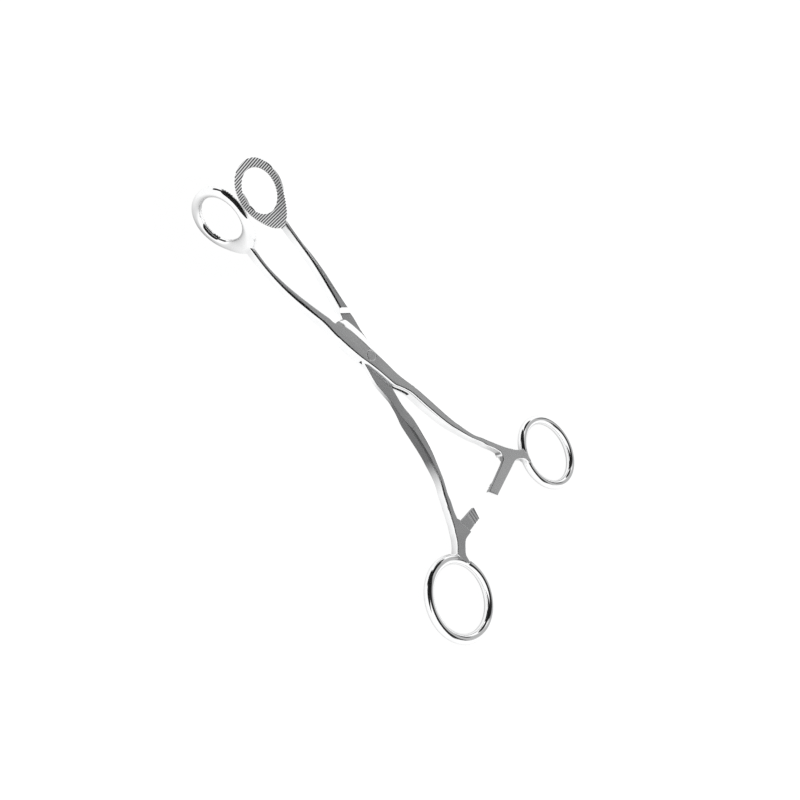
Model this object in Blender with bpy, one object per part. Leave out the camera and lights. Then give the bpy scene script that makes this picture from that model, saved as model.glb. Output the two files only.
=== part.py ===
"""Oval jaw forceps: two steel halves crossing in a box lock on one flush rivet.

Metres, +Z up. The plane of motion is XY, the jaws point to +Y, the rivet
axis is Z, and the origin is where it leaves the rear face of the lock. Each
half is drawn about the middle plane of the lock, with its finger ring toward
+X; the tenon half is the mirror image of that drawing.
"""
import math

import bmesh
import bpy
from mathutils import Vector

MM = 0.001

# reach of the two ends, measured from the rivet
LOCK_TO_JAW = 57.95 * MM
LOCK_TO_RING = 89.1 * MM
RING_SPREAD = 41.0 * MM

# shank of each half: share of the run, distance of its middle from the centre line as a share
# of the distance at its end, and width as a share of the full width
SHANK_WIDTH = 3.8 * MM
JAW_SHANK_OFFSET = 9.45 * MM
JAW_SHANK = ((0.94, 1.0, 0.49), (0.84, 1.0, 0.49), (0.72, 0.958, 0.62), (0.61, 0.862, 0.75),
             (0.51, 0.735, 0.83), (0.42, 0.612, 0.895), (0.362, 0.531, 0.975))
RING_TO_SHANK_X = 20.5 * MM
RING_TO_SHANK_Y = 21.6 * MM
RING_SHANK = ((0.273, 0.200, 1.0), (0.329, 0.237, 0.975), (0.437, 0.300, 1.025), (0.567, 0.380, 0.945),
              (0.645, 0.444, 0.84), (0.690, 0.495, 0.765), (0.797, 0.624, 0.605), (0.871, 0.763, 0.66),
              (0.914, 0.829, 0.735), (0.962, 0.924, 0.79), (1.000, 1.000, 1.025))
SHANK_HALF_THICKNESS = 2.0 * MM
EDGE_ROUNDING = 0.65 * MM
EDGE_ROUNDING_STEPS = 2

# ratchet arm and neck, measured from the middle of the finger ring
NOTCH = ((-22.50, 19.60), (-23.10, 18.00), (-24.40, 17.20))
ARM_TOP_ROOT = (-26.70, 16.70)
ARM_TOP_SLOPE = -0.135
ARM_LOWER = ((-31.60, 11.10), (-22.80, 11.90), (-19.50, 12.20))
BOX_ARM_REACH = 1.0 * MM
BOX_ARM_TIP_LEAN = 0.62
TENON_ARM_REACH = 8.5 * MM
TENON_ARM_TIP_LEAN = 0.3
NECK_LOWER = ((-17.80, 11.80), (-15.60, 10.10), (-14.00, 8.50), (-13.40, 5.50))
NECK_INSIDE_RING = ((-11.80, 5.40), (-11.20, 8.60), (-11.00, 12.10))
NECK_UPPER = ((-18.30, 20.10), (-16.70, 17.80), (-15.10, 15.50), (-13.40, 13.80))

# finger ring
RING_SEMI_X = 13.64 * MM
RING_SEMI_Y = 15.67 * MM
RING_TURN_DEG = 4.0
RING_WIRE_WIDTH = 3.9 * MM
RING_WIRE_HEIGHT = 4.0 * MM
RING_STEPS = 56
RING_WIRE_STEPS = 14

# oval jaw, and how far each jaw stands off the centre line and leans outward
BOX_JAW_OFFSET = 7.65 * MM
BOX_JAW_LEAN_DEG = 4.7
TENON_JAW_OFFSET = 9.45 * MM
TENON_JAW_LEAN_DEG = 7.5
JAW_OUTER = (13.19 * MM, 1.96 * MM, 0.04 * MM, -0.78 * MM)
JAW_CENTRE = 10.96 * MM
WINDOW_CENTRE = 13.9 * MM
WINDOW_SEMI_LENGTH = 8.3 * MM
WINDOW_SEMI_WIDTH = 10.2 * MM
JAW_THICKNESS = 2.15 * MM
JAW_TONGUE = 2.4 * MM
JAW_EDGE_SHARE = 0.2
JAW_STEPS = 52
JAW_DOME_STEPS = 7
SERRATION_PITCH = 0.86 * MM
SERRATION_DEPTH = 0.3 * MM
SERRATION_LAND = 0.14 * MM

# box lock
BOX_HALF_THICKNESS = 2.6 * MM
BOX_WALL_HEIGHT = 1.15 * MM
BOX_LEFT_ROUNDING = 1.1 * MM
# distance along the box, its left and right walls, and the width of the bevel on its right
BOX_STATIONS = ((18.20, -5.90, -1.50, 0.5), (17.80, -6.35, 0.40, 1.5), (17.20, -6.65, 1.65, 2.6),
                (16.20, -6.75, 2.55, 3.3), (14.80, -6.50, 3.05, 3.7), (12.00, -6.10, 3.65, 3.4),
                (8.50, -5.60, 4.20, 3.3), (5.50, -5.10, 4.35, 2.9), (1.70, -4.35, 4.30, 2.4),
                (-2.90, -3.10, 4.15, 1.6), (-7.00, -2.15, 4.20, 1.1), (-11.00, -1.45, 4.50, 1.0),
                (-14.50, -0.70, 4.95, 0.8), (-17.60, 0.65, 5.55, 0.6), (-19.60, 1.70, 6.00, 0.5),
                (-20.80, 2.50, 6.30, 0.4), (-21.60, 3.40, 6.25, 0.4))
BOX_NOTCH = (-2.75, 18.70)
TENON_HALF_THICKNESS = 0.8 * MM
TENON_SIDE_CLEARANCE = 0.05 * MM
TENON_WIDTH = 7.2 * MM
TENON_REACH = 15.5 * MM
SLOT_RADIUS = 20.3 * MM
SLOT_SHIFT = 1.5 * MM
# shoulder of the tenon half toward the jaw, and its long ramp toward the ring
SHOULDER_DISTANCE = 16.75 * MM
SHOULDER_DIRECTION = (-0.594, 0.805)
SHOULDER_RUN = 2.3 * MM
RAMP_START = 21.6 * MM
RAMP_RUN = 12.0 * MM
DISC_STEPS = 64

# rivet, flush in both plates of the box
RIVET_DIAMETER = 3.2 * MM
RIVET_HEAD_DIAMETER = 4.2 * MM
RIVET_HEAD_DEPTH = 0.6 * MM
RIVET_FIT = 0.03 * MM
RIVET_STEPS = 32

# ratchet
RATCHET_GAP = 0.12 * MM
RATCHET_RELIEF = 0.7 * MM
TOOTH_HEIGHT = 0.6 * MM
TOOTH_PITCH_DEG = 1.0
TOOTH_COUNT = 3
BOX_FIRST_TOOTH_DEG = 1.4
TENON_FIRST_TOOTH_DEG = 7.1
ARM_ROOT_FROM_RING = -21.8 * MM

SMOOTH_STEPS = 3


def clear_scene():
    for item in list(bpy.data.objects):
        bpy.data.objects.remove(item, do_unlink=True)


def smooth_path(points, steps):
    """Points on a smooth curve through the given points."""
    result = []
    count = len(points)
    for index in range(count - 1):
        p0 = points[max(index - 1, 0)]
        p1 = points[index]
        p2 = points[index + 1]
        p3 = points[min(index + 2, count - 1)]
        for step in range(steps):
            t = step / steps
            result.append(Vector([spline_value(p0[k], p1[k], p2[k], p3[k], t) for k in range(len(p1))]))
    result.append(Vector(points[-1]))
    return result


def spline_value(a, b, c, d, t):
    linear = (c - a) * t
    square = (2 * a - 5 * b + 4 * c - d) * t * t
    cube = (3 * b - a - 3 * c + d) * t ** 3
    return 0.5 * (2 * b + linear + square + cube)


def from_ring(points):
    """Points given from the middle of the finger ring, placed in the half."""
    return [Vector((RING_SPREAD + x * MM, -LOCK_TO_RING + y * MM)) for x, y in points]


def arm_outline(reach, tip_lean):
    """Upper side, tip and lower side of a ratchet arm that ends at this reach."""
    root = from_ring((ARM_TOP_ROOT,))[0]
    lower = from_ring(ARM_LOWER)
    slope = (lower[1].y - lower[0].y) / (lower[1].x - lower[0].x)
    tip = Vector((reach, root.y + ARM_TOP_SLOPE * (root.x - reach)))
    lower_x = reach + tip_lean * (tip.y - lower[0].y)
    return [root, tip, Vector((lower_x, lower[0].y + slope * (lower_x - lower[0].x)))]


def shank_sides(middle, widths):
    """Left and right sides of a shank whose middle runs from the jaw toward the ring."""
    left = []
    right = []
    for index, (point, width) in enumerate(zip(middle, widths)):
        before = middle[max(index - 1, 0)]
        after = middle[min(index + 1, len(middle) - 1)]
        along = (after - before).normalized()
        across = Vector((-along.y, along.x)) * width / 2
        left.append(point - across)
        right.append(point + across)
    return left, right


def jaw_shank(offset):
    """Both sides of the shank between the jaw, at its own offset, and the lock."""
    jaw_middle = -offset - JAW_THICKNESS / 2
    neck = (jaw_middle - JAW_SHANK_OFFSET) / 2
    middle = [Vector((jaw_middle, LOCK_TO_JAW)), Vector((neck, JAW_SHANK[0][0] * LOCK_TO_JAW))]
    middle += [Vector((-x * JAW_SHANK_OFFSET, share * LOCK_TO_JAW)) for share, x, width in JAW_SHANK[1:]]
    widths = [width * SHANK_WIDTH for share, x, width in JAW_SHANK[:1] + JAW_SHANK]
    return shank_sides(middle, widths)


def ring_shank(stations):
    """Both sides of the shank between the lock and the ratchet arm."""
    run = LOCK_TO_RING - RING_TO_SHANK_Y
    spread = RING_SPREAD - RING_TO_SHANK_X
    middle = [Vector((x * spread, -share * run)) for share, x, width in stations]
    return shank_sides(middle, [width * SHANK_WIDTH for share, x, width in stations])


def half_outline(offset, arm, lock_sides, stations):
    """Closed outline of the bar, the arm and the neck, counter-clockwise."""
    jaw_left, jaw_right = jaw_shank(offset)
    lock_left, lock_right = lock_sides
    ring_left, ring_right = ring_shank(stations)
    tongue = [Vector((-offset - share * JAW_THICKNESS, LOCK_TO_JAW + JAW_TONGUE)) for share in (0.35, 1.05)]
    left = smooth_path(jaw_left + lock_left + ring_left, SMOOTH_STEPS)
    notch = smooth_path([ring_left[-1]] + from_ring(NOTCH + (ARM_TOP_ROOT,)), 2)[1:-1]
    lower = smooth_path(from_ring(ARM_LOWER[1:] + NECK_LOWER), 2)
    right = smooth_path(jaw_right + lock_right + ring_right[:-2] + from_ring(NECK_UPPER), SMOOTH_STEPS)
    return tongue + left + notch + arm_outline(*arm) + lower + from_ring(NECK_INSIDE_RING) + right[::-1]


def half_thickness(y):
    """The bar is thickest at the lock and tapers toward both ends."""
    reach = LOCK_TO_JAW if y > 0 else LOCK_TO_RING
    share = min(1.0, max(0.0, (abs(y) / reach - 0.3) / 0.5))
    share = share * share * (3 - 2 * share)
    return (BOX_HALF_THICKNESS - 0.02 * MM) * (1 - share) + SHANK_HALF_THICKNESS * share


def inward_offsets(loop):
    """Mitre direction into the body for every corner of a counter-clockwise loop."""
    result = []
    count = len(loop)
    for index in range(count):
        before = (loop[index] - loop[index - 1]).normalized()
        after = (loop[(index + 1) % count] - loop[index]).normalized()
        normal = Vector((-before.y - after.y, before.x + after.x)).normalized()
        lean = max(0.45, normal.dot(Vector((-before.y, before.x))))
        result.append(normal / lean)
    return result


def rounded_levels(half, rounding, steps):
    """Height and inset pairs from the bottom face to the top face."""
    lower = []
    for step in range(steps + 1):
        angle = math.pi / 2 * step / steps
        lower.append((-half + rounding * (1 - math.cos(angle)), rounding * (1 - math.sin(angle))))
    return lower + [(-z, inset) for z, inset in reversed(lower)]


def mesh_object(name, build):
    mesh = bpy.data.meshes.new(name)
    shape = bmesh.new()
    build(shape)
    bmesh.ops.recalc_face_normals(shape, faces=shape.faces)
    shape.to_mesh(mesh)
    shape.free()
    item = bpy.data.objects.new(name, mesh)
    bpy.context.scene.collection.objects.link(item)
    return item


def stack_loops(shape, loops):
    """Close a stack of equal loops with side faces and two end caps."""
    rows = [[shape.verts.new(p) for p in loop] for loop in loops]
    count = len(rows[0])
    for low, high in zip(rows, rows[1:]):
        for index in range(count):
            after = (index + 1) % count
            shape.faces.new((low[index], low[after], high[after], high[index]))
    shape.faces.new(list(reversed(rows[0])))
    shape.faces.new(rows[-1])


def prism(name, loop, bottom, top):
    loops = [[Vector((p.x, p.y, z)) for p in loop] for z in (bottom, top)]
    return mesh_object(name, lambda shape: stack_loops(shape, loops))


def rounded_bar(name, loop):
    """Bar with rounded edges, its thickness following its place along the instrument."""
    mitres = inward_offsets(loop)
    loops = []
    for z, inset in rounded_levels(1.0, EDGE_ROUNDING / SHANK_HALF_THICKNESS, EDGE_ROUNDING_STEPS):
        inset *= SHANK_HALF_THICKNESS
        row = []
        for p, m in zip(loop, mitres):
            row.append(Vector((p.x + m.x * inset, p.y + m.y * inset, z * half_thickness(p.y))))
        loops.append(row)
    return mesh_object(name, lambda shape: stack_loops(shape, loops))


def combine(target, tool, operation):
    modifier = target.modifiers.new("Join", "BOOLEAN")
    modifier.operation = operation
    modifier.solver = "EXACT"
    modifier.object = tool
    bpy.context.view_layer.update()
    depsgraph = bpy.context.evaluated_depsgraph_get()
    mesh = bpy.data.meshes.new_from_object(target.evaluated_get(depsgraph))
    target.modifiers.clear()
    target.data = mesh
    bpy.data.objects.remove(tool, do_unlink=True)


def ring_point(angle, semi_x, semi_y):
    turn = math.radians(RING_TURN_DEG)
    u = semi_x * math.cos(angle)
    v = semi_y * math.sin(angle)
    x = RING_SPREAD + u * math.cos(turn) - v * math.sin(turn)
    y = -LOCK_TO_RING + u * math.sin(turn) + v * math.cos(turn)
    return Vector((x, y))


def finger_ring():
    """Oval ring of rounded wire."""
    def build(shape):
        rows = []
        for step in range(RING_STEPS):
            angle = 2 * math.pi * step / RING_STEPS
            centre = ring_point(angle, RING_SEMI_X, RING_SEMI_Y)
            ahead = ring_point(angle + 0.01, RING_SEMI_X, RING_SEMI_Y) - centre
            outward = Vector((ahead.y, -ahead.x)).normalized()
            row = []
            for k in range(RING_WIRE_STEPS):
                turn = 2 * math.pi * k / RING_WIRE_STEPS
                side = centre + outward * (RING_WIRE_WIDTH / 2 * math.cos(turn))
                row.append(shape.verts.new((side.x, side.y, RING_WIRE_HEIGHT / 2 * math.sin(turn))))
            rows.append(row)
        for index in range(RING_STEPS):
            now = rows[index]
            after = rows[(index + 1) % RING_STEPS]
            for k in range(RING_WIRE_STEPS):
                shape.faces.new((now[k], after[k], after[(k + 1) % RING_WIRE_STEPS], now[(k + 1) % RING_WIRE_STEPS]))
    return mesh_object("ring_blank", build)


def jaw_axes(offset, lean_deg):
    """Root point, direction along the jaw and direction out of its gripping face."""
    lean = math.radians(lean_deg)
    along = Vector((-math.sin(lean), math.cos(lean), 0))
    back = Vector((-math.cos(lean), -math.sin(lean), 0))
    return Vector((-offset, LOCK_TO_JAW, 0)), along, back


def jaw_outer_radius(angle):
    return sum(size * math.cos(k * angle) for k, size in enumerate(JAW_OUTER))


def jaw_outer_point(angle):
    radius = jaw_outer_radius(angle)
    return Vector((JAW_CENTRE + radius * math.cos(angle), radius * math.sin(angle)))


def window_point(angle):
    return Vector((WINDOW_CENTRE + WINDOW_SEMI_LENGTH * math.cos(angle), WINDOW_SEMI_WIDTH * math.sin(angle)))


def oval_jaw(axes):
    """Oval frame with a flat gripping face and a domed back."""
    root, along, back = axes

    def place(flat, depth):
        return root + along * flat.x + Vector((0, 0, flat.y)) + back * depth

    def build(shape):
        rows = []
        for step in range(JAW_STEPS):
            angle = 2 * math.pi * step / JAW_STEPS
            inner = window_point(angle)
            outer = jaw_outer_point(angle)
            row = [shape.verts.new(place(inner, 0.0))]
            for k in range(JAW_DOME_STEPS + 1):
                turn = math.pi * k / JAW_DOME_STEPS
                share = 0.5 - 0.5 * math.cos(turn)
                rise = math.sin(turn) ** 0.6 if 0 < k < JAW_DOME_STEPS else 0.0
                depth = JAW_THICKNESS * (JAW_EDGE_SHARE + (1 - JAW_EDGE_SHARE) * rise)
                row.append(shape.verts.new(place(inner.lerp(outer, share), depth)))
            row.append(shape.verts.new(place(outer, 0.0)))
            rows.append(row)
        width = len(rows[0])
        for index in range(JAW_STEPS):
            now = rows[index]
            after = rows[(index + 1) % JAW_STEPS]
            for k in range(width):
                shape.faces.new((now[k], now[(k + 1) % width], after[(k + 1) % width], after[k]))
    return mesh_object("jaw_blank", build)


def serration_comb(axes):
    """Comb that cuts the cross grooves into the gripping face."""
    root, along, back = axes
    reach = JAW_CENTRE + sum(JAW_OUTER) + SERRATION_PITCH
    half_width = 20.0 * MM
    base = -0.8 * MM
    low = -0.25 * MM
    flat = [(-2.6 * MM, base), (reach, base), (reach, low)]
    position = reach - SERRATION_PITCH
    slope = (SERRATION_PITCH - SERRATION_LAND) / 2 / SERRATION_DEPTH
    foot = (SERRATION_DEPTH - low) * slope
    while position > -1.9 * MM:
        flat += [(position + foot, low), (position, SERRATION_DEPTH), (position - foot, low)]
        position -= SERRATION_PITCH
    flat.append((-2.6 * MM, low))
    cleaned = remove_crossings(flat, low)

    def build(shape):
        loops = []
        for z in (-half_width, half_width):
            loops.append([root + along * a + back * b + Vector((0, 0, z)) for a, b in cleaned])
        stack_loops(shape, loops)
    return mesh_object("comb", build)


def remove_crossings(flat, low):
    """Let neighbouring comb teeth meet above the base where their feet overlap."""
    result = flat[:3]
    teeth = [flat[index:index + 3] for index in range(3, len(flat) - 1, 3)]
    for index, tooth in enumerate(teeth):
        right, tip, left = tooth
        if index == 0:
            result.append(right)
        result.append(tip)
        if index + 1 < len(teeth):
            next_tip = teeth[index + 1][1]
            middle = (tip[0] + next_tip[0]) / 2
            slope = (right[0] - tip[0]) / (tip[1] - low)
            height = tip[1] - (tip[0] - middle) / slope
            result.append((middle, height))
        else:
            result.append(left)
    result.append(flat[-1])
    return result


def arc(radius, start_deg, end_deg, steps):
    angles = [math.radians(start_deg + (end_deg - start_deg) * k / steps) for k in range(steps + 1)]
    return [Vector((radius * math.cos(a), radius * math.sin(a))) for a in angles]


def box_section(station):
    """Closed section of the box across X and Z, its left edges rounded and its right edges bevelled."""
    y, left, right, bevel = station
    wall = BOX_WALL_HEIGHT
    top = BOX_HALF_THICKNESS
    upper = [(left, wall)]
    for k in (1, 2, 3):
        angle = math.pi / 2 * k / 3
        upper.append((left + BOX_LEFT_ROUNDING * (1 - math.cos(angle)), wall + (top - wall) * math.sin(angle)))
    upper += [(right - bevel, top), (right - 0.45 * bevel, wall + 0.5 * (top - wall)), (right, wall)]
    section = upper + [(x, -z) for x, z in reversed(upper)]
    return [Vector((x, y, z)) for x, z in section]


def lock_box():
    stations = [tuple(value * MM for value in station) for station in BOX_STATIONS]
    rows = [box_section(station) for station in smooth_path(stations, 2)]
    return mesh_object("box", lambda shape: stack_loops(shape, rows))


def slot_cutter():
    """Disc that opens the box for the tenon."""
    half = TENON_HALF_THICKNESS + TENON_SIDE_CLEARANCE
    circle = [p - Vector((0, SLOT_SHIFT)) for p in arc(SLOT_RADIUS, 0, 360, DISC_STEPS)[:-1]]
    return prism("slot", circle, -half, half)


def profile_cutter(name, direction, profile, side):
    """Straight cutter: a profile of distance along a direction and height, run across the bar."""
    ahead = Vector(direction).normalized()
    across = Vector((-ahead.y, ahead.x)) * 2 * TENON_WIDTH
    loops = []
    for sign in (-1, 1):
        loops.append([Vector((ahead.x * d + across.x * sign, ahead.y * d + across.y * sign, side * z)) for d, z in profile])
    return mesh_object(name, lambda shape: stack_loops(shape, loops))


def shoulder_profile():
    """Tenon face, then the sloped shoulder toward the jaw."""
    face = TENON_HALF_THICKNESS
    rise = BOX_HALF_THICKNESS - face
    end = SHOULDER_DISTANCE + SHOULDER_RUN
    above = face + 2 * rise
    return [(-TENON_WIDTH, face), (SHOULDER_DISTANCE, face), (end - 0.45 * SHOULDER_RUN, face + 0.4 * rise),
            (end, face + rise), (end + 0.1 * SHOULDER_RUN, above), (-TENON_WIDTH, above)]


def ramp_profile():
    """Tenon face, then the long ramp toward the ring."""
    face = TENON_HALF_THICKNESS
    rise = half_thickness(-RAMP_START - RAMP_RUN) - face
    above = face + 2 * rise
    points = [(-TENON_WIDTH / 2, face)]
    for k in range(7):
        share = k / 6
        points.append((RAMP_START + RAMP_RUN * share, face + rise * share * share * (3 - 2 * share)))
    return points + [(RAMP_START + 1.1 * RAMP_RUN, above), (-TENON_WIDTH / 2, above)]


def ring_direction():
    left, right = ring_shank(RING_SHANK)
    return (left[2] + right[2] - left[0] - right[0]).normalized()


def rivet_profile(fit):
    """Radius and height pairs of the flush rivet, grown by a fit."""
    top = BOX_HALF_THICKNESS
    shank = RIVET_DIAMETER / 2 + fit
    head = RIVET_HEAD_DIAMETER / 2 + fit
    step = top - RIVET_HEAD_DEPTH
    extra = 0.5 * MM if fit > 0 else 0.0
    slope = (head - shank) / RIVET_HEAD_DEPTH
    return [(head + slope * extra, -top - extra), (shank, -step), (shank, step), (head + slope * extra, top + extra)]


def rivet_solid(name, fit):
    loops = []
    for radius, z in rivet_profile(fit):
        loop = []
        for k in range(RIVET_STEPS):
            angle = 2 * math.pi * k / RIVET_STEPS
            loop.append(Vector((radius * math.cos(angle), radius * math.sin(angle), z)))
        loops.append(loop)
    return mesh_object(name, lambda shape: stack_loops(shape, loops))


def polar_loop(start_deg, end_deg, inner, outer):
    """Four corners between two radii, angles measured from -Y toward +X."""
    corners = []
    for radius, angle in ((outer, start_deg), (outer, end_deg), (inner, end_deg), (inner, start_deg)):
        turn = math.radians(angle)
        corners.append(Vector((radius * math.sin(turn), -radius * math.cos(turn))))
    return corners


def arm_recess(floor, reach):
    """Block that takes the mating half off a ratchet arm."""
    root = RING_SPREAD + ARM_ROOT_FROM_RING
    tip = reach - SHANK_WIDTH
    low = ARM_LOWER[0][1] * MM - 0.65 * SHANK_WIDTH - LOCK_TO_RING
    high = ARM_TOP_ROOT[1] * MM + 0.53 * SHANK_WIDTH - LOCK_TO_RING
    loop = [(tip, low), (root - 0.35 * SHANK_WIDTH, low), (root, high), (tip, high)]
    return prism("arm", [Vector(p) for p in loop], floor, 2 * SHANK_HALF_THICKNESS)


def tooth_gap(name, start_deg, end_deg, level, depth):
    """Triangular prism that opens one gap between ratchet teeth."""
    inner = LOCK_TO_RING - 19.1 * MM
    outer = LOCK_TO_RING - 7.1 * MM
    top = level + 0.4 * MM
    steep = end_deg - 0.08
    flat = [(start_deg, level), (steep, level - depth), (end_deg, level), (end_deg, top), (start_deg, top)]

    def build(shape):
        loops = []
        for radius in (inner, outer):
            loop = []
            for angle, z in flat:
                turn = math.radians(angle)
                loop.append(Vector((radius * math.sin(turn), -radius * math.cos(turn), z)))
            loops.append(loop)
        stack_loops(shape, loops)
    return mesh_object(name, build)


def cut_ratchet(half, first_deg, level):
    for k in range(TOOTH_COUNT):
        start = first_deg + k * TOOTH_PITCH_DEG
        gap = tooth_gap("gap", start + 0.35, start + TOOTH_PITCH_DEG, level, TOOTH_HEIGHT)
        combine(half, gap, "DIFFERENCE")


def cut_arm(half, reach, first_deg, relief):
    """Half lap, teeth and the relief behind them, on the face toward +Z."""
    level = -RATCHET_GAP / 2
    combine(half, arm_recess(level, reach), "DIFFERENCE")
    if relief > 0:
        end = first_deg + TOOTH_COUNT * TOOTH_PITCH_DEG
        loop = polar_loop(end, 13.4, LOCK_TO_RING - 23.1 * MM, LOCK_TO_RING - 7.1 * MM)
        combine(half, prism("relief", loop, level - relief, 3 * MM), "DIFFERENCE")
    cut_ratchet(half, first_deg, level)


def add_ends(half, offset, lean_deg):
    """Ring, jaw with its serrations and the rivet hole."""
    axes = jaw_axes(offset, lean_deg)
    combine(half, finger_ring(), "UNION")
    combine(half, oval_jaw(axes), "UNION")
    combine(half, serration_comb(axes), "DIFFERENCE")
    combine(half, rivet_solid("hole", RIVET_FIT), "DIFFERENCE")


def box_half():
    stations = [Vector(station) * MM for station in BOX_STATIONS[3:-1]]
    left = [Vector((x + 0.35 * MM, y)) for y, x, right, bevel in stations]
    right = [Vector(BOX_NOTCH) * MM]
    right += [Vector((x - max(bevel, 0.4 * MM), y)) for y, start, x, bevel in stations]
    arm = (BOX_ARM_REACH, BOX_ARM_TIP_LEAN)
    half = rounded_bar("box_half", half_outline(BOX_JAW_OFFSET, arm, (left, right), RING_SHANK[1:]))
    cut_arm(half, BOX_ARM_REACH, BOX_FIRST_TOOTH_DEG, RATCHET_RELIEF)
    combine(half, lock_box(), "UNION")
    combine(half, slot_cutter(), "DIFFERENCE")
    add_ends(half, BOX_JAW_OFFSET, BOX_JAW_LEAN_DEG)
    scale_mesh(half.data, 1, 1, -1)
    return half


def tenon_sides():
    """Left and right sides of the tenon through the lock."""
    lean = Vector((-0.25, 1.0)).normalized()
    half_width = Vector((TENON_WIDTH / 2, 0))
    middle = [lean * TENON_REACH * share for share in (1.22, 1.0, 0.6, 0.2, -0.2, -0.6, -0.9)]
    widths = (0.56, 0.75, 0.8, 1.0, 1.0, 0.98, 0.71)
    left = [p - half_width * share for p, share in zip(middle, widths)]
    right = [p + half_width * share for p, share in zip(middle, widths)]
    return left, right


def tenon_half():
    arm = (TENON_ARM_REACH, TENON_ARM_TIP_LEAN)
    half = rounded_bar("tenon_half", half_outline(TENON_JAW_OFFSET, arm, tenon_sides(), RING_SHANK))
    cut_arm(half, TENON_ARM_REACH, TENON_FIRST_TOOTH_DEG, 0.0)
    for side in (1, -1):
        combine(half, profile_cutter("shoulder", SHOULDER_DIRECTION, shoulder_profile(), side), "DIFFERENCE")
        combine(half, profile_cutter("ramp", ring_direction(), ramp_profile(), side), "DIFFERENCE")
    add_ends(half, TENON_JAW_OFFSET, TENON_JAW_LEAN_DEG)
    scale_mesh(half.data, -1, 1, 1)
    return half


def flip_faces(mesh):
    shape = bmesh.new()
    shape.from_mesh(mesh)
    bmesh.ops.reverse_faces(shape, faces=shape.faces)
    shape.to_mesh(mesh)
    shape.free()


def scale_mesh(mesh, sx, sy, sz):
    for vertex in mesh.vertices:
        vertex.co.x *= sx
        vertex.co.y *= sy
        vertex.co.z *= sz
    if sx * sy * sz < 0:
        flip_faces(mesh)


def tidy(item):
    """Drop slivers left by the cuts and triangulate."""
    shape = bmesh.new()
    shape.from_mesh(item.data)
    bmesh.ops.remove_doubles(shape, verts=shape.verts, dist=0.002 * MM)
    bmesh.ops.dissolve_degenerate(shape, edges=shape.edges, dist=0.002 * MM)
    bmesh.ops.triangulate(shape, faces=shape.faces)
    shape.to_mesh(item.data)
    shape.free()


def steel(name, colour, roughness):
    material = bpy.data.materials.new(name)
    material.use_nodes = True
    shader = material.node_tree.nodes["Principled BSDF"]
    shader.inputs["Base Color"].default_value = colour
    shader.inputs["Metallic"].default_value = 1.0
    shader.inputs["Roughness"].default_value = roughness
    return material


def finish(item, material):
    """Stand the rear face of the lock on z = 0, tidy the mesh and give it its steel."""
    for vertex in item.data.vertices:
        vertex.co.z += BOX_HALF_THICKNESS
    tidy(item)
    item.data.materials.clear()
    item.data.materials.append(material)
    for face in item.data.polygons:
        face.material_index = 0
        face.use_smooth = True


def build():
    clear_scene()
    finish(box_half(), steel("box_half_steel", (0.62, 0.63, 0.64, 1), 0.25))
    finish(tenon_half(), steel("tenon_half_steel", (0.60, 0.61, 0.62, 1), 0.27))
    finish(rivet_solid("pivot_rivet", 0.0), steel("rivet_steel", (0.58, 0.59, 0.60, 1), 0.30))


build()
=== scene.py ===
"""Oval jaw forceps lying open: two polished steel halves on a box lock, with finger rings and a ratchet."""
import math

import bmesh
import bpy
from mathutils import Matrix, Vector


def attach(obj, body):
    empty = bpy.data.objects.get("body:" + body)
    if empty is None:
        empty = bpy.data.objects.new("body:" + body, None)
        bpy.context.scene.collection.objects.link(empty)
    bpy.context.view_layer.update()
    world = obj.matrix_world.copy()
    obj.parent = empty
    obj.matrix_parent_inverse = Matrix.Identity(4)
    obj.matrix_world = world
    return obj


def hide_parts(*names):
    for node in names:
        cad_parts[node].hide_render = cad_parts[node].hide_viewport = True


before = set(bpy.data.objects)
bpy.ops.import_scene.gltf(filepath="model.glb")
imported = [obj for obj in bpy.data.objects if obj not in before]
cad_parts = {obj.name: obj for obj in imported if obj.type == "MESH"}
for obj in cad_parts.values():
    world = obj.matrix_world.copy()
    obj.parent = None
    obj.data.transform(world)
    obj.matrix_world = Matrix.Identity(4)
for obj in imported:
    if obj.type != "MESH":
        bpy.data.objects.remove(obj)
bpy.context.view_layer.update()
MM = 0.001
scene = bpy.context.scene


# Camera
# A plain lens about 0.28 m from the rivet looks down on the instrument from the left, onto the front side
# of the lock.
VIEW_RIGHT = Vector((0.51884, -0.63071, 0.57707))
VIEW_DOWN = Vector((-0.63639, -0.73568, -0.23190))
VIEW_AHEAD = Vector((0.57080, -0.24692, -0.78308))
PIVOT_FROM_LENS = Vector((-13.710, -15.687, 276.406))
LENS_MM = 32.4
SENSOR_MM = 36.0

turn = Matrix((VIEW_RIGHT, -VIEW_DOWN, -VIEW_AHEAD)).transposed()
lens_at = -(VIEW_RIGHT * PIVOT_FROM_LENS.x + VIEW_DOWN * PIVOT_FROM_LENS.y + VIEW_AHEAD * PIVOT_FROM_LENS.z) * MM
camera_data = bpy.data.cameras.new("camera")
camera_data.lens = LENS_MM
camera_data.sensor_width = SENSOR_MM
camera_data.clip_start = 0.005
camera = bpy.data.objects.new("camera", camera_data)
camera.matrix_world = Matrix.Translation(lens_at) @ turn.to_4x4()
scene.collection.objects.link(camera)
scene.camera = camera


# Studio
# A white tent round the instrument. Its roof has a grey side, a dark slit, a dark edge and a dark door,
# which draw the dark lines that polished steel shows in such a tent.
TENT_WHITE = 1.12
# round spots: direction, inner and outer angle in degrees, brightness
GREY_SIDE = (Vector((0.62, -0.24, 0.75)), 20.0, 36.0, 0.48)
DARK_EDGE = (Vector((0.85, -0.22, 0.48)), 5.0, 13.0, 0.06)
DARK_DOOR = (Vector((0.57, 0.62, 0.54)), 17.0, 24.0, 0.03)
# slit along the instrument: its middle, inner and outer half width, brightness, and where it fades out
DARK_SLIT = (-0.06, 0.26, 0.40, 0.02)
SLIT_END = (-0.78, -0.66)

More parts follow.
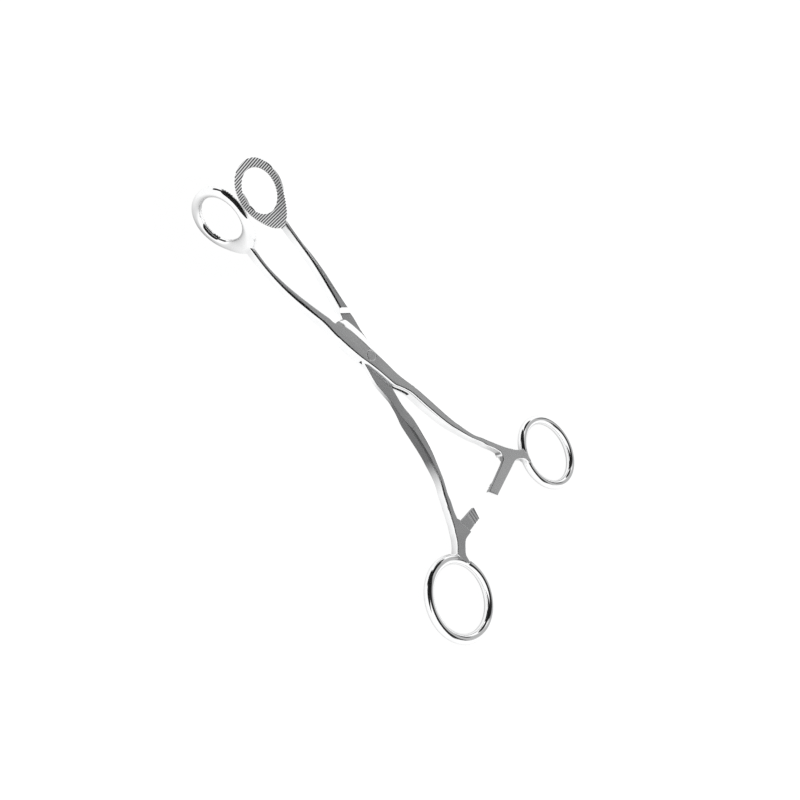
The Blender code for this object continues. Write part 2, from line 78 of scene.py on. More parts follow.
world = bpy.data.worlds.new("white_tent")
scene.world = world
scene.view_settings.view_transform = "Standard"
world.use_nodes = True
tent = world.node_tree
tent.nodes.clear()


def math_step(tree, operation, first, second=None):
    """One sum on two sockets or numbers."""
    step = tree.nodes.new("ShaderNodeMath")
    step.operation = operation
    for socket, value in zip(step.inputs, (first, second)):
        if isinstance(value, float):
            socket.default_value = value
        elif value is not None:
            tree.links.new(value, socket)
    return step.outputs[0]


def fade_step(tree, value, low, high, out_low=0.0, out_high=1.0, soft=False):
    """Turn one range of a value into another, straight or eased."""
    fade = tree.nodes.new("ShaderNodeMapRange")
    if soft:
        fade.interpolation_type = "SMOOTHSTEP"
    for label, number in (("From Min", low), ("From Max", high), ("To Min", out_low), ("To Max", out_high)):
        fade.inputs[label].default_value = number
    tree.links.new(value, fade.inputs["Value"])
    return fade.outputs["Result"]


def soft_spot(direction, inner_deg, outer_deg):
    """1 inside a round spot of the tent seen from the instrument, fading to 0 at its outer angle."""
    where = tent.nodes.new("ShaderNodeTexCoord")
    dot = tent.nodes.new("ShaderNodeVectorMath")
    dot.operation = "DOT_PRODUCT"
    dot.inputs[1].default_value = direction.normalized()
    tent.links.new(where.outputs["Generated"], dot.inputs[0])
    low, high = (math.cos(math.radians(angle)) for angle in (outer_deg, inner_deg))
    return fade_step(tent, dot.outputs["Value"], low, high, soft=True)


def long_slit(middle, inner, outer):
    """1 inside a slit of the roof that runs along the instrument, fading to 0 at its outer half width."""
    where = tent.nodes.new("ShaderNodeTexCoord")
    parts = tent.nodes.new("ShaderNodeSeparateXYZ")
    tent.links.new(where.outputs["Generated"], parts.inputs[0])
    off = math_step(tent, "ABSOLUTE", math_step(tent, "SUBTRACT", parts.outputs["X"], middle))
    across = fade_step(tent, off, outer, inner, soft=True)
    return math_step(tent, "MULTIPLY", across, fade_step(tent, parts.outputs["Y"], *SLIT_END, soft=True))


def tent_blend(share, low, high):
    """Go from one brightness to another as the share goes from 0 to 1."""
    mix = tent.nodes.new("ShaderNodeMix")
    mix.data_type = "FLOAT"
    tent.links.new(share, mix.inputs[0])
    for socket, value in ((mix.inputs[2], low), (mix.inputs[3], high)):
        if isinstance(value, float):
            socket.default_value = value
        else:
            tent.links.new(value, socket)
    return mix.outputs[0]


level = tent_blend(soft_spot(*GREY_SIDE[:3]), TENT_WHITE, GREY_SIDE[3])
level = tent_blend(long_slit(*DARK_SLIT[:3]), level, DARK_SLIT[3])
level = tent_blend(soft_spot(*DARK_EDGE[:3]), level, DARK_EDGE[3])
level = tent_blend(soft_spot(*DARK_DOOR[:3]), level, DARK_DOOR[3])
path = tent.nodes.new("ShaderNodeLightPath")
level = tent_blend(path.outputs["Is Camera Ray"], level, 1.0)
background = tent.nodes.new("ShaderNodeBackground")
background.inputs["Color"].default_value = (1, 1, 1, 1)
tent.links.new(level, background.inputs["Strength"])
tent_out = tent.nodes.new("ShaderNodeOutputWorld")
tent.links.new(background.outputs[0], tent_out.inputs["Surface"])


# Floor
# A sheet of white card under the jaws and the finger rings, which the instrument rests on. It is a little
# shaded where the jaws and the rings come close to it.
REST_AT_JAWS = Vector((0, 72, -11.25)) * MM
REST_AT_RINGS = Vector((0, -100, 0.5)) * MM
CARD_HALF_SIDE = 2.0
CARD_GLOW = 1.1
CARD_IN_POLISH = 0.92
# the soft shade between the jaws and the card, and the closer one wherever the instrument touches it
SHADE_MIDDLE = (-0.006, 0.074, -0.011)
SHADE_REACH = (0.004, 0.024)
SHADE_LEVEL = 0.55
CONTACT_REACH = 0.008
CONTACT_FADE = (0.35, 0.9, 0.4, 1.0)

slope = (REST_AT_RINGS - REST_AT_JAWS).normalized()
card_mesh = bpy.data.meshes.new("white_card")
corners = [REST_AT_JAWS + Vector((x * CARD_HALF_SIDE, 0, 0)) + slope * y * CARD_HALF_SIDE
           for x, y in ((-1, 1), (1, 1), (1, -1), (-1, -1))]
card_mesh.from_pydata(corners, [], [(0, 1, 2, 3)])
card = bpy.data.objects.new("white_card", card_mesh)
scene.collection.objects.link(card)


def card_brightness(tree, camera_ray):
    """White to the camera, and shaded near the instrument in what the polish shows."""
    place = tree.nodes.new("ShaderNodeTexCoord")
    from_jaws = tree.nodes.new("ShaderNodeVectorMath")
    from_jaws.operation = "DISTANCE"
    from_jaws.inputs[1].default_value = SHADE_MIDDLE
    tree.links.new(place.outputs["Object"], from_jaws.inputs[0])
    shade = fade_step(tree, from_jaws.outputs["Value"], *SHADE_REACH, SHADE_LEVEL, CARD_GLOW)
    nearby = tree.nodes.new("ShaderNodeAmbientOcclusion")
    nearby.samples = 8
    nearby.inputs["Distance"].default_value = CONTACT_REACH
    contact = fade_step(tree, nearby.outputs["AO"], *CONTACT_FADE)
    return math_step(tree, "MAXIMUM", camera_ray, math_step(tree, "MULTIPLY", shade, contact))


def white_card():
    """Matt card that glows for the camera and for reflections only."""
    paper = bpy.data.materials.new("white_card")
    paper.use_nodes = True
    tree = paper.node_tree
    matt = tree.nodes["Principled BSDF"]
    matt.inputs["Base Color"].default_value = (0.86, 0.86, 0.86, 1)
    matt.inputs["Roughness"].default_value = 0.9
    rays = tree.nodes.new("ShaderNodeLightPath")
    glow = tree.nodes.new("ShaderNodeEmission")
    glow.inputs["Color"].default_value = (1, 1, 1, 1)
    tree.links.new(card_brightness(tree, rays.outputs["Is Camera Ray"]), glow.inputs["Strength"])
    in_polish = math_step(tree, "MULTIPLY", rays.outputs["Is Glossy Ray"], CARD_IN_POLISH)
    mix = tree.nodes.new("ShaderNodeMixShader")
    tree.links.new(math_step(tree, "MAXIMUM", rays.outputs["Is Camera Ray"], in_polish), mix.inputs["Fac"])
    tree.links.new(matt.outputs[0], mix.inputs[1])
    tree.links.new(glow.outputs[0], mix.inputs[2])
    tree.links.new(mix.outputs[0], tree.nodes["Material Output"].inputs["Surface"])
    return paper


card_mesh.materials.append(white_card())


# Dark card
# A card of matt black paper hung over the jaws. It is seen only in the polish, where it draws the dark
# streaks on the jaws and the upper shanks.
DARK_CARD_X = (-0.270, 0.044)
DARK_CARD_Y = (-0.050, 0.240)
DARK_CARD_HEIGHT = 0.100

dark_mesh = bpy.data.meshes.new("dark_card")
dark_mesh.from_pydata([(DARK_CARD_X[i], DARK_CARD_Y[j], DARK_CARD_HEIGHT)
                       for i, j in ((0, 0), (1, 0), (1, 1), (0, 1))], [], [(0, 1, 2, 3)])
dark_card = bpy.data.objects.new("dark_card", dark_mesh)
scene.collection.objects.link(dark_card)
dark_paper = bpy.data.materials.new("dark_paper")
dark_paper.use_nodes = True
dark_shader = dark_paper.node_tree.nodes["Principled BSDF"]
dark_shader.inputs["Base Color"].default_value = (0.01, 0.01, 0.01, 1)
dark_shader.inputs["Roughness"].default_value = 1.0
dark_mesh.materials.append(dark_paper)
dark_card.visible_camera = False
dark_card.visible_diffuse = False
dark_card.visible_shadow = False


# Box half
# The half whose lock is a slotted box, from the left jaw to the right finger ring. It is forged in one
# piece of stainless steel, its flats ground to a satin and its edges, jaw and ring polished.

# reach of the two ends, measured from the rivet
LOCK_TO_JAW = 57.95 * MM
LOCK_TO_RING = 89.1 * MM
RING_SPREAD = 41.0 * MM

# shank of each half: share of the run, distance of its middle from the centre line as a share
# of the distance at its end, and width as a share of the full width
SHANK_WIDTH = 3.8 * MM
JAW_SHANK_OFFSET = 9.45 * MM
JAW_SHANK = ((0.94, 1.0, 0.49), (0.84, 1.0, 0.49), (0.72, 0.958, 0.62), (0.61, 0.862, 0.75),
             (0.51, 0.735, 0.83), (0.42, 0.612, 0.895), (0.362, 0.531, 0.975))
RING_TO_SHANK_X = 20.5 * MM
RING_TO_SHANK_Y = 21.6 * MM
RING_SHANK = ((0.273, 0.200, 1.0), (0.329, 0.237, 0.975), (0.437, 0.300, 1.025), (0.567, 0.380, 0.945),
              (0.645, 0.444, 0.84), (0.690, 0.495, 0.765), (0.797, 0.624, 0.605), (0.871, 0.763, 0.66),
              (0.914, 0.829, 0.735), (0.962, 0.924, 0.79), (1.000, 1.000, 1.025))
SHANK_HALF_THICKNESS = 2.0 * MM
TAPER_FROM, TAPER_OVER = 0.3, 0.5
EDGE_ROUNDING = 0.65 * MM
EDGE_ROUNDING_STEPS = 6
LEAST_MITRE = 0.45
# how far the rounding reaches into the flat, as a share of its depth, at places in millimetres along Y
EDGE_REACH = ((-74.0, 0.6), (-70.0, 0.75), (-66.0, 0.9), (-60.0, 1.2), (-53.0, 1.1), (-45.0, 1.45),
              (-28.0, 1.5), (-5.0, 1.2), (20.0, 1.2), (30.0, 1.55), (38.0, 1.3), (46.0, 1.0), (60.0, 0.85))

# ratchet arm and neck, measured from the middle of the finger ring
NOTCH = ((-22.50, 19.60), (-23.10, 18.00), (-24.40, 17.20))
ARM_TOP_ROOT = (-26.70, 16.70)
ARM_TOP_SLOPE = -0.135
ARM_LOWER = ((-31.60, 11.10), (-22.80, 11.90), (-19.50, 12.20))
BOX_ARM_REACH = 1.0 * MM
BOX_ARM_TIP_LEAN = 0.62
NECK_LOWER = ((-17.80, 11.80), (-15.60, 10.10), (-14.00, 8.50), (-13.40, 5.50))
NECK_INSIDE_RING = ((-11.80, 5.40), (-11.20, 8.60), (-11.00, 12.10))
NECK_UPPER = ((-18.30, 20.10), (-16.70, 17.80), (-15.10, 15.50), (-13.40, 13.80))

# finger ring
RING_SEMI_X = 13.64 * MM
RING_SEMI_Y = 15.67 * MM
RING_TURN_DEG = 4.0
RING_WIRE_WIDTH = 3.9 * MM
RING_WIRE_HEIGHT = 4.0 * MM
RING_STEPS = 120
RING_WIRE_STEPS = 36

# oval jaw, and how far each jaw stands off the centre line and leans outward
BOX_JAW_OFFSET = 7.65 * MM
BOX_JAW_LEAN_DEG = 4.7
JAW_OUTER = (13.19 * MM, 1.96 * MM, 0.04 * MM, -0.78 * MM)
JAW_CENTRE = 10.96 * MM
WINDOW_CENTRE = 13.9 * MM
WINDOW_SEMI_LENGTH = 8.3 * MM
WINDOW_SEMI_WIDTH = 10.2 * MM
JAW_THICKNESS = 2.15 * MM
JAW_TONGUE = 2.4 * MM
JAW_TONGUE_SIDES = (0.35, 1.05)
JAW_EDGE_SHARE = 0.2
JAW_DOME_POWER = 0.9
JAW_STEPS = 120
JAW_DOME_STEPS = 18
SERRATION_PITCH = 0.86 * MM
SERRATION_DEPTH = 0.3 * MM
SERRATION_LAND = 0.34 * MM
SERRATED_BELOW_ROOT = 1.9 * MM
GROOVE_HALF_LENGTH = 20.0 * MM
GROOVE_CUT_ABOVE = 0.1 * MM

# box lock
BOX_HALF_THICKNESS = 2.6 * MM
BOX_WALL_HEIGHT = 1.15 * MM
BOX_LEFT_ROUNDING = 1.1 * MM
BOX_LEFT_INSET = 0.4 * MM
BAR_INSIDE_BOX = 0.4 * MM
BOX_BELOW_BAR = 0.02 * MM
BOX_ROUNDING_STEPS = 8
BOX_BEVEL_MIDDLE = (0.45, 0.5)
# distance along the box, its left and right walls, and the width of the bevel on its right
BOX_STATIONS = ((18.20, -5.90, -1.50, 0.5), (17.80, -6.35, 0.40, 1.5), (17.20, -6.65, 1.65, 2.6),
                (16.20, -6.75, 2.55, 3.3), (14.80, -6.50, 3.05, 3.7), (12.00, -6.10, 3.65, 3.4),
                (8.50, -5.60, 4.20, 3.3), (5.50, -5.10, 4.35, 2.9), (1.70, -4.35, 4.30, 2.4),
                (-2.90, -3.10, 4.15, 1.6), (-7.00, -2.15, 4.20, 1.1), (-11.00, -1.45, 4.50, 1.0),
                (-14.50, -0.70, 4.95, 0.8), (-17.60, 0.65, 5.55, 0.6), (-19.60, 1.70, 6.00, 0.5),
                (-20.80, 2.50, 6.30, 0.4), (-21.60, 3.40, 6.25, 0.4))
BOX_NOTCH = (-2.75, 18.70)
TENON_HALF_THICKNESS = 0.8 * MM
TENON_SIDE_CLEARANCE = 0.05 * MM
TENON_REACH = 15.5 * MM
SLOT_RADIUS = 20.3 * MM
SLOT_SHIFT = 1.8 * MM
# side walls that close the slot where the tenon doesn't pass, and the ease at the bar's left end
SIDE_WALL = 0.35 * MM
SIDE_SHUT_FROM = 0.4 * MM
LEFT_END_EASE = 0.35 * MM
DISC_STEPS = 128

# rivet, flush in both plates of the box
RIVET_DIAMETER = 3.2 * MM
RIVET_HEAD_DIAMETER = 4.2 * MM
RIVET_HEAD_DEPTH = 0.6 * MM
RIVET_FIT = 0.03 * MM
RIVET_HOLE_BEYOND = 0.5 * MM
RIVET_STEPS = 32

# ratchet, its teeth and the relief behind them between an inner and an outer radius about the rivet
RATCHET_GAP = 0.12 * MM
RATCHET_RELIEF = 0.7 * MM
RELIEF_END_DEG = 13.4
RELIEF_INNER = LOCK_TO_RING - 23.1 * MM
RELIEF_TOP = 3.0 * MM
TOOTH_INNER = LOCK_TO_RING - 19.1 * MM
TOOTH_OUTER = LOCK_TO_RING - 7.1 * MM
TOOTH_HEIGHT = 0.6 * MM
TOOTH_LAND_DEG = 0.35
TOOTH_FLANK_DEG = 0.08
TOOTH_PITCH_DEG = 1.0
TOOTH_COUNT = 3
TOOTH_CUT_ABOVE = 0.4 * MM
BOX_FIRST_TOOTH_DEG = 1.4
ARM_ROOT_FROM_RING = -21.8 * MM
# room round the arm that its recess takes, as shares of the shank's width
RECESS_BELOW, RECESS_ABOVE, RECESS_ASIDE = 0.65, 0.53, 0.35
SMOOTH_STEPS = 6


def smooth_path(points, steps):
    """Points on a smooth curve through the given points."""
    result = []
    count = len(points)
    for index in range(count - 1):
        p0 = points[max(index - 1, 0)]
        p1 = points[index]
        p2 = points[index + 1]
        p3 = points[min(index + 2, count - 1)]
        for step in range(steps):
            t = step / steps
            result.append(Vector([spline_value(p0[k], p1[k], p2[k], p3[k], t) for k in range(len(p1))]))
    result.append(Vector(points[-1]))
    return result


def spline_value(a, b, c, d, t):
    linear = (c - a) * t
    square = (2 * a - 5 * b + 4 * c - d) * t * t
    cube = (3 * b - a - 3 * c + d) * t ** 3
    return 0.5 * (2 * b + linear + square + cube)


def from_ring(points):
    """Points given from the middle of the finger ring, placed in the half."""
    return [Vector((RING_SPREAD + x * MM, -LOCK_TO_RING + y * MM)) for x, y in points]


def arm_outline(reach, tip_lean):
    """Upper side, tip and lower side of a ratchet arm that ends at this reach."""
    root = from_ring((ARM_TOP_ROOT,))[0]
    lower = from_ring(ARM_LOWER)
    slope = (lower[1].y - lower[0].y) / (lower[1].x - lower[0].x)
    tip = Vector((reach, root.y + ARM_TOP_SLOPE * (root.x - reach)))
    lower_x = reach + tip_lean * (tip.y - lower[0].y)
    return [root, tip, Vector((lower_x, lower[0].y + slope * (lower_x - lower[0].x)))]


def shank_sides(middle, widths):
    """Left and right sides of a shank whose middle runs from the jaw toward the ring."""
    left = []
    right = []
    for index, (point, width) in enumerate(zip(middle, widths)):
        before = middle[max(index - 1, 0)]
        after = middle[min(index + 1, len(middle) - 1)]
        along = (after - before).normalized()
        across = Vector((-along.y, along.x)) * width / 2
        left.append(point - across)
        right.append(point + across)
    return left, right


def jaw_shank(offset):
    """Both sides of the shank between the jaw, at its own offset, and the lock."""
    jaw_middle = -offset - JAW_THICKNESS / 2
    neck = (jaw_middle - JAW_SHANK_OFFSET) / 2
    middle = [Vector((jaw_middle, LOCK_TO_JAW)), Vector((neck, JAW_SHANK[0][0] * LOCK_TO_JAW))]
    middle += [Vector((-x * JAW_SHANK_OFFSET, share * LOCK_TO_JAW)) for share, x, width in JAW_SHANK[1:]]
    widths = [width * SHANK_WIDTH for share, x, width in JAW_SHANK[:1] + JAW_SHANK]
    return shank_sides(middle, widths)


def ring_shank(stations):
    """Both sides of the shank between the lock and the ratchet arm."""
    run = LOCK_TO_RING - RING_TO_SHANK_Y
    spread = RING_SPREAD - RING_TO_SHANK_X
    middle = [Vector((x * spread, -share * run)) for share, x, width in stations]
    return shank_sides(middle, [width * SHANK_WIDTH for share, x, width in stations])


def half_outline(offset, arm, lock_sides, stations):
    """Closed outline of the bar, the arm and the neck, counter-clockwise."""
    jaw_left, jaw_right = jaw_shank(offset)
    lock_left, lock_right = lock_sides
    ring_left, ring_right = ring_shank(stations)
    tongue = [Vector((-offset - share * JAW_THICKNESS, LOCK_TO_JAW + JAW_TONGUE)) for share in JAW_TONGUE_SIDES]
    left = smooth_path(jaw_left + lock_left + ring_left, SMOOTH_STEPS)
    notch = smooth_path([ring_left[-1]] + from_ring(NOTCH + (ARM_TOP_ROOT,)), 2)[1:-1]
    lower = smooth_path(from_ring(ARM_LOWER[1:] + NECK_LOWER), 2)
    right = smooth_path(jaw_right + lock_right + ring_right[:-2] + from_ring(NECK_UPPER), SMOOTH_STEPS)
    return tongue + left + notch + arm_outline(*arm) + lower + from_ring(NECK_INSIDE_RING) + right[::-1]


def half_thickness(y):
    """The bar is thickest at the lock and tapers toward both ends."""
    reach = LOCK_TO_JAW if y > 0 else LOCK_TO_RING
    share = min(1.0, max(0.0, (abs(y) / reach - TAPER_FROM) / TAPER_OVER))
    share = share * share * (3 - 2 * share)
    return BOX_HALF_THICKNESS * (1 - share) + SHANK_HALF_THICKNESS * share


def inward_offsets(loop):
    """Mitre direction into the body for every corner of a counter-clockwise loop."""
    result = []
    count = len(loop)
    for index in range(count):
        before = (loop[index] - loop[index - 1]).normalized()
        after = (loop[(index + 1) % count] - loop[index]).normalized()
        normal = Vector((-before.y - after.y, before.x + after.x)).normalized()
        lean = max(LEAST_MITRE, normal.dot(Vector((-before.y, before.x))))
        result.append(normal / lean)
    return result


def rounded_levels(half, rounding, steps):
    """Height and inset pairs from the bottom face to the top face."""
    lower = []
    for step in range(steps + 1):
        angle = math.pi / 2 * step / steps
        lower.append((-half + rounding * (1 - math.cos(angle)), rounding * (1 - math.sin(angle))))
    return lower + [(-z, inset) for z, inset in reversed(lower)]


def mesh_object(name, build):
    mesh = bpy.data.meshes.new(name)
    shape = bmesh.new()
    build(shape)
    bmesh.ops.recalc_face_normals(shape, faces=shape.faces)
    shape.to_mesh(mesh)
    shape.free()
    item = bpy.data.objects.new(name, mesh)
    scene.collection.objects.link(item)
    return item


def stack_loops(shape, loops):
    """Close a stack of equal loops with side faces and two end caps."""
    rows = [[shape.verts.new(p) for p in loop] for loop in loops]
    count = len(rows[0])
    for low, high in zip(rows, rows[1:]):
        for index in range(count):
            after = (index + 1) % count
            shape.faces.new((low[index], low[after], high[after], high[index]))
    shape.faces.new(list(reversed(rows[0])))
    shape.faces.new(rows[-1])


def prism(name, loop, bottom, top):
    loops = [[Vector((p.x, p.y, z)) for p in loop] for z in (bottom, top)]
    return mesh_object(name, lambda shape: stack_loops(shape, loops))


def edge_reach(y):
    """How far the rounding of the edges reaches into the flat at this place, as a share of its depth."""
    y /= MM
    if y <= EDGE_REACH[0][0]:
        return EDGE_REACH[0][1]
    for (y0, low), (y1, high) in zip(EDGE_REACH, EDGE_REACH[1:]):
        if y <= y1:
            return low + (high - low) * (y - y0) / (y1 - y0)
    return EDGE_REACH[-1][1]


def rounded_bar(name, loop):
    """Bar with rounded edges, its thickness following its place along the instrument."""
    mitres = inward_offsets(loop)
    loops = []
    for z, inset in rounded_levels(1.0, EDGE_ROUNDING / SHANK_HALF_THICKNESS, EDGE_ROUNDING_STEPS):
        inset *= SHANK_HALF_THICKNESS
        row = []
        for p, m in zip(loop, mitres):
            reach = inset * edge_reach(p.y)
            row.append(Vector((p.x + m.x * reach, p.y + m.y * reach, z * half_thickness(p.y))))
        loops.append(row)
    return mesh_object(name, lambda shape: stack_loops(shape, loops))


def settle(item):
    """Turn what an object's modifiers make of it into its own plain mesh."""
    bpy.context.view_layer.update()
    depsgraph = bpy.context.evaluated_depsgraph_get()
    mesh = bpy.data.meshes.new_from_object(item.evaluated_get(depsgraph))
    item.modifiers.clear()
    item.data = mesh


def combine(target, tool, operation):
    modifier = target.modifiers.new("Join", "BOOLEAN")
    modifier.operation = operation
    modifier.solver = "EXACT"
    modifier.object = tool
    settle(target)
    bpy.data.objects.remove(tool, do_unlink=True)


def close_round(shape, rows):
    """Join rows of points to a closed ring whose every section is a closed loop."""
    width = len(rows[0])
    for now, after in zip(rows, rows[1:] + rows[:1]):
        for k in range(width):
            shape.faces.new((now[k], after[k], after[(k + 1) % width], now[(k + 1) % width]))


def ring_point(angle, semi_x, semi_y):
    turn = math.radians(RING_TURN_DEG)
    u = semi_x * math.cos(angle)
    v = semi_y * math.sin(angle)
    x = RING_SPREAD + u * math.cos(turn) - v * math.sin(turn)
    y = -LOCK_TO_RING + u * math.sin(turn) + v * math.cos(turn)
    return Vector((x, y))


def finger_ring():
    """Oval ring of rounded wire."""
    def build(shape):
        rows = []
        for step in range(RING_STEPS):
            angle = 2 * math.pi * step / RING_STEPS
            centre = ring_point(angle, RING_SEMI_X, RING_SEMI_Y)
            ahead = ring_point(angle + 0.01, RING_SEMI_X, RING_SEMI_Y) - centre
            outward = Vector((ahead.y, -ahead.x)).normalized()
            row = []
            for k in range(RING_WIRE_STEPS):
                turn = 2 * math.pi * k / RING_WIRE_STEPS
                side = centre + outward * (RING_WIRE_WIDTH / 2 * math.cos(turn))
                row.append(shape.verts.new((side.x, side.y, RING_WIRE_HEIGHT / 2 * math.sin(turn))))
            rows.append(row)
        close_round(shape, rows)
    return mesh_object("ring_blank", build)


def jaw_axes(offset, lean_deg):
    """Root point, direction along the jaw and direction out of its gripping face."""
    lean = math.radians(lean_deg)
    along = Vector((-math.sin(lean), math.cos(lean), 0))
    back = Vector((-math.cos(lean), -math.sin(lean), 0))
    return Vector((-offset, LOCK_TO_JAW, 0)), along, back


def jaw_outer_radius(angle):
    return sum(size * math.cos(k * angle) for k, size in enumerate(JAW_OUTER))


def jaw_outer_point(angle):
    radius = jaw_outer_radius(angle)
    return Vector((JAW_CENTRE + radius * math.cos(angle), radius * math.sin(angle)))


def window_point(angle):
    return Vector((WINDOW_CENTRE + WINDOW_SEMI_LENGTH * math.cos(angle), WINDOW_SEMI_WIDTH * math.sin(angle)))


def oval_jaw(axes):
    """Oval frame with a flat gripping face and a domed back."""
    root, along, back = axes

    def place(flat, depth):
        return root + along * flat.x + Vector((0, 0, flat.y)) + back * depth

    def build(shape):
        rows = []
        for step in range(JAW_STEPS):
            angle = 2 * math.pi * step / JAW_STEPS
            inner = window_point(angle)
            outer = jaw_outer_point(angle)
            row = [shape.verts.new(place(inner, 0.0))]
            for k in range(JAW_DOME_STEPS + 1):
                turn = math.pi * k / JAW_DOME_STEPS
                share = 0.5 - 0.5 * math.cos(turn)
                rise = math.sin(turn) ** JAW_DOME_POWER if 0 < k < JAW_DOME_STEPS else 0.0
                depth = JAW_THICKNESS * (JAW_EDGE_SHARE + (1 - JAW_EDGE_SHARE) * rise)
                row.append(shape.verts.new(place(inner.lerp(outer, share), depth)))
            row.append(shape.verts.new(place(outer, 0.0)))
            rows.append(row)
        close_round(shape, rows)
    return mesh_object("jaw_blank", build)


def circle_points(radius, steps):
    angles = [2 * math.pi * k / steps for k in range(steps)]
    return [Vector((radius * math.cos(a), radius * math.sin(a))) for a in angles]


def box_section(station):
    """Closed section of the box across X and Z, its left edges rounded and its right edges bevelled."""
    y, left, right, bevel = station
    left += BOX_LEFT_INSET
    wall = BOX_WALL_HEIGHT
    top = BOX_HALF_THICKNESS - BOX_BELOW_BAR
    upper = [(left, wall)]
    for k in range(1, BOX_ROUNDING_STEPS + 1):
        angle = math.pi / 2 * k / BOX_ROUNDING_STEPS
        upper.append((left + BOX_LEFT_ROUNDING * (1 - math.cos(angle)), wall + (top - wall) * math.sin(angle)))
    inward, upward = BOX_BEVEL_MIDDLE
    upper += [(right - bevel, top), (right - inward * bevel, wall + upward * (top - wall)), (right, wall)]
    section = upper + [(x, -z) for x, z in reversed(upper)]
    return [Vector((x, y, z)) for x, z in section]


def lock_box():
    stations = [tuple(value * MM for value in station) for station in BOX_STATIONS]
    rows = [box_section(station) for station in smooth_path(stations, SMOOTH_STEPS)]
    return mesh_object("box", lambda shape: stack_loops(shape, rows))


def box_wall(y, column):
    """Place of the left (1) or right (2) wall of the box."""
    stations = [tuple(value * MM for value in station) for station in BOX_STATIONS]
    for upper, lower in zip(stations, stations[1:]):
        if upper[0] >= y >= lower[0]:
            share = (upper[0] - y) / (upper[0] - lower[0])
            return upper[column] + (lower[column] - upper[column]) * share
    return stations[0 if y > 0 else -1][column]


def slot_cutter():
    """Disc that opens the box for the tenon, short of the side walls that the tenon doesn't pass."""
    half = TENON_HALF_THICKNESS + TENON_SIDE_CLEARANCE
    circle = [p - Vector((0, SLOT_SHIFT)) for p in circle_points(SLOT_RADIUS, DISC_STEPS)]
    for p in circle:
        if p.y > SIDE_SHUT_FROM:
            p.x = max(p.x, box_wall(p.y, 1) + SIDE_WALL)
        elif p.y < -2 * SIDE_SHUT_FROM:
            p.x = min(p.x, box_wall(p.y, 2) - SIDE_WALL)
    return prism("slot", circle, -half, half)


def rivet_hole():
    """Hole for the flush rivet, flared toward both faces for its conical heads."""
    shank = RIVET_DIAMETER / 2 + RIVET_FIT
    head = RIVET_HEAD_DIAMETER / 2 + RIVET_FIT
    step = BOX_HALF_THICKNESS - RIVET_HEAD_DEPTH
    flare = head + (head - shank) / RIVET_HEAD_DEPTH * RIVET_HOLE_BEYOND
    end = BOX_HALF_THICKNESS + RIVET_HOLE_BEYOND
    loops = []
    for radius, z in ((flare, -end), (shank, -step), (shank, step), (flare, end)):
        loops.append([Vector((p.x, p.y, z)) for p in circle_points(radius, RIVET_STEPS)])
    return mesh_object("hole", lambda shape: stack_loops(shape, loops))


def polar_loop(start_deg, end_deg, inner, outer):
    """Four corners between two radii, angles measured from -Y toward +X."""
    corners = []
    for radius, angle in ((outer, start_deg), (outer, end_deg), (inner, end_deg), (inner, start_deg)):
        turn = math.radians(angle)
        corners.append(Vector((radius * math.sin(turn), -radius * math.cos(turn))))
    return corners


def arm_recess(floor, reach):
    """Block that takes the mating half off a ratchet arm."""
    root = RING_SPREAD + ARM_ROOT_FROM_RING
    tip = reach - SHANK_WIDTH
    low = ARM_LOWER[0][1] * MM - RECESS_BELOW * SHANK_WIDTH - LOCK_TO_RING
    high = ARM_TOP_ROOT[1] * MM + RECESS_ABOVE * SHANK_WIDTH - LOCK_TO_RING
    loop = [(tip, low), (root - RECESS_ASIDE * SHANK_WIDTH, low), (root, high), (tip, high)]
    return prism("arm", [Vector(p) for p in loop], floor, 2 * SHANK_HALF_THICKNESS)


def wedge_row(name, wedge, count, step, turn_step):
    """Row of wedges laid out by geometry nodes: each is moved, or turned about the rivet, by one step more."""
    tree = bpy.data.node_groups.new(name, "GeometryNodeTree")
    tree.interface.new_socket("Geometry", in_out="OUTPUT", socket_type="NodeSocketGeometry")
    values = {}
    for label, kind, value in (("Count", "NodeSocketInt", count), ("Step", "NodeSocketVector", step),
                               ("Turn Step", "NodeSocketFloat", turn_step), ("Wedge", "NodeSocketObject", wedge)):
        values[tree.interface.new_socket(label, in_out="INPUT", socket_type=kind).identifier] = value
    given = tree.nodes.new("NodeGroupInput")
    line = tree.nodes.new("GeometryNodeMeshLine")
    tree.links.new(given.outputs["Count"], line.inputs["Count"])
    tree.links.new(given.outputs["Step"], line.inputs["Offset"])
    blank = tree.nodes.new("GeometryNodeObjectInfo")
    tree.links.new(given.outputs["Wedge"], blank.inputs["Object"])
    index = tree.nodes.new("GeometryNodeInputIndex")
    axis = tree.nodes.new("ShaderNodeCombineXYZ")
    tree.links.new(math_step(tree, "MULTIPLY", index.outputs[0], given.outputs["Turn Step"]), axis.inputs["Z"])
    place = tree.nodes.new("GeometryNodeInstanceOnPoints")
    tree.links.new(line.outputs["Mesh"], place.inputs["Points"])
    tree.links.new(blank.outputs["Geometry"], place.inputs["Instance"])
    tree.links.new(axis.outputs[0], place.inputs["Rotation"])
    solid = tree.nodes.new("GeometryNodeRealizeInstances")
    tree.links.new(place.outputs["Instances"], solid.inputs["Geometry"])
    coat = tree.nodes.new("GeometryNodeSetMaterial")
    tree.links.new(solid.outputs["Geometry"], coat.inputs["Geometry"])
    out = tree.nodes.new("NodeGroupOutput")
    tree.links.new(coat.outputs["Geometry"], out.inputs[0])
    row = bpy.data.objects.new(name, bpy.data.meshes.new(name))
    scene.collection.objects.link(row)
    modifier = row.modifiers.new("Row", "NODES")
    modifier.node_group = tree
    for identifier, value in values.items():
        modifier[identifier] = value
    settle(row)
    bpy.data.objects.remove(wedge, do_unlink=True)
    return row


